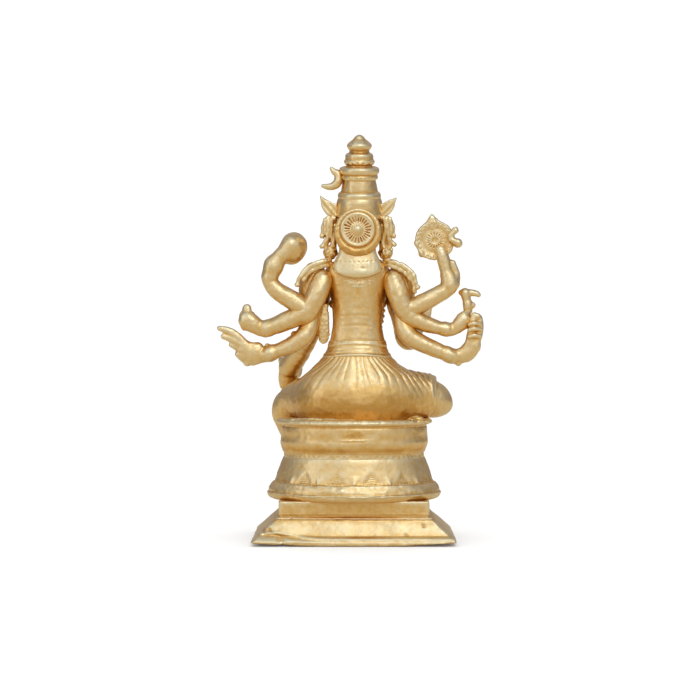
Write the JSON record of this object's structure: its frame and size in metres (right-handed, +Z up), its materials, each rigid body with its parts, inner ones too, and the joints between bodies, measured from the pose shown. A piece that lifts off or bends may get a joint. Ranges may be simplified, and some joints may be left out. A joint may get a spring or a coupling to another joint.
{
  "type": "seated multi-armed goddess statue",
  "caption": "Cast goddess figure with several arms, tall crown and held emblems, seated on an oval lotus over a sloping plinth.",
  "frame": {"origin": "centre of the plinth's underside, on the surface the statue stands on", "axes": "+Z up, the figure faces -Y, +X is at the figure's own left hand"},
  "size_m": [0.0502, 0.0265, 0.076],
  "materials": {
    "pedestal_brass": "satin, brushed flat faces with small dents and file marks",
    "lotus_brass": "satin cast with bright petal ridges and darker recesses",
    "skin_brass": "satin cast, lightly tumbled, fine casting grain",
    "drapery_brass": "satin cast with pleats worn bright on top",
    "crown_brass": "satin cast with bright ring edges",
    "attribute_brass": "satin cast with coarse small detail",
    "ornament_brass": "satin cast with coarse small detail, dark in the gaps"
  },
  "bodies": {
    "root": {"plinth": "pedestal_brass", "dado": "pedestal_brass", "lotus_foot": "lotus_brass", "lotus": "lotus_brass", "waist_beads": "lotus_brass", "seat_drum": "lotus_brass", "seat_rim": "lotus_brass", "footrest": "lotus_brass", "skirt": "drapery_brass", "belt": "ornament_brass", "front_sash": "drapery_brass", "thigh_right": "drapery_brass", "shin_right": "skin_brass", "thigh_left": "drapery_brass", "shin_left": "skin_brass", "torso": "skin_brass", "breast_band": "ornament_brass", "necklace": "ornament_brass", "garland": "ornament_brass", "head": "skin_brass", "hair_fan": "drapery_brass", "nape_band": "ornament_brass", "halo_ring": "crown_brass", "halo_disc": "crown_brass", "ear_ornament_left": "ornament_brass", "ear_ornament_right": "ornament_brass", "leaf_left": "crown_brass", "leaf_right": "crown_brass", "tassel_left": "ornament_brass", "tassel_right": "ornament_brass", "crown_body": "crown_brass", "crown_ring": "crown_brass", "crown_tier_mid": "crown_brass", "crown_tier_top": "crown_brass", "crown_crescent": "crown_brass", "crown_crest": "crown_brass", "arm_left_high": "skin_brass", "arm_left_mid": "skin_brass", "arm_left_low": "skin_brass", "arm_left_front": "skin_brass", "arm_right_high": "skin_brass", "arm_right_mid": "skin_brass", "arm_right_low": "skin_brass", "arm_right_front": "skin_brass", "hand_left_high": "skin_brass", "hand_left_mid": "skin_brass", "hand_left_low": "skin_brass", "hand_left_front": "skin_brass", "hand_right_high": "skin_brass", "hand_right_mid": "skin_brass", "hand_right_low": "skin_brass", "hand_right_front": "skin_brass", "conch": "attribute_brass", "club": "attribute_brass", "bowl": "attribute_brass", "discus": "attribute_brass", "discus_flames": "attribute_brass", "goad": "attribute_brass"}
  },
  "joints": []
}
